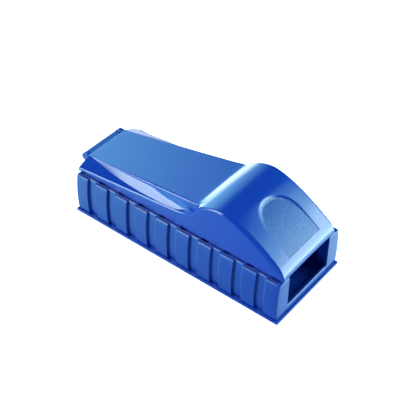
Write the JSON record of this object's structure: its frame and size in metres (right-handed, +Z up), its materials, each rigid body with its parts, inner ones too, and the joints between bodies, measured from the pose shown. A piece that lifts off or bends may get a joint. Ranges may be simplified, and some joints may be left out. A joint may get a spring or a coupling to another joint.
{
  "type": "hand tube filler",
  "caption": "Hand-held tube filling machine: ribbed grip box with an end window, sliding carriage with spoon, fixed nozzle, and a hinged hump cover with a textured thumb pad.",
  "frame": {"origin": "middle of the flat underside, on the ground plane", "axes": "+Z up; Y is the length, the open window end is at -Y and the hinge end at +Y; X is the width"},
  "size_m": [0.0472, 0.1214, 0.0424],
  "materials": {
    "box_plastic": "glossy",
    "cover_plastic": "glossy",
    "inner_plastic": "satin",
    "polished_steel": "polished",
    "zinc_screw": "zinc plated",
    "stop_rubber": "matt"
  },
  "bodies": {
    "base": {"base_housing": "box_plastic", "floor_plate": "box_plastic", "floor_screw_rear_left": "zinc_screw", "floor_screw_rear_right": "zinc_screw", "floor_screw_front_left": "zinc_screw", "floor_screw_front_right": "zinc_screw", "guide_rail_left": "inner_plastic", "guide_rail_right": "inner_plastic", "stop_bumper_left": "stop_rubber", "stop_bumper_right": "stop_rubber", "chamber_bed": "inner_plastic", "tobacco_trough": "polished_steel", "nozzle_holder": "inner_plastic", "nozzle_tube": "polished_steel", "tube_cradle": "inner_plastic"},
    "carriage": {"carriage_frame": "inner_plastic", "spoon_block": "inner_plastic", "spoon": "polished_steel", "hinge_pin": "polished_steel"},
    "cover": {"top_cover": "cover_plastic", "press_bar": "inner_plastic"}
  },
  "joints": [
    {"name": "carriage_slide", "type": "slide", "parent": "base", "child": "carriage", "axis": [0, -1, 0], "range_m": [0, 0.06]},
    {"name": "cover_hinge", "type": "hinge", "parent": "carriage", "child": "cover", "pos_m": [0, 0.0609, 0.0243], "axis": [-1, 0, 0], "range_deg": [0, 95]}
  ]
}
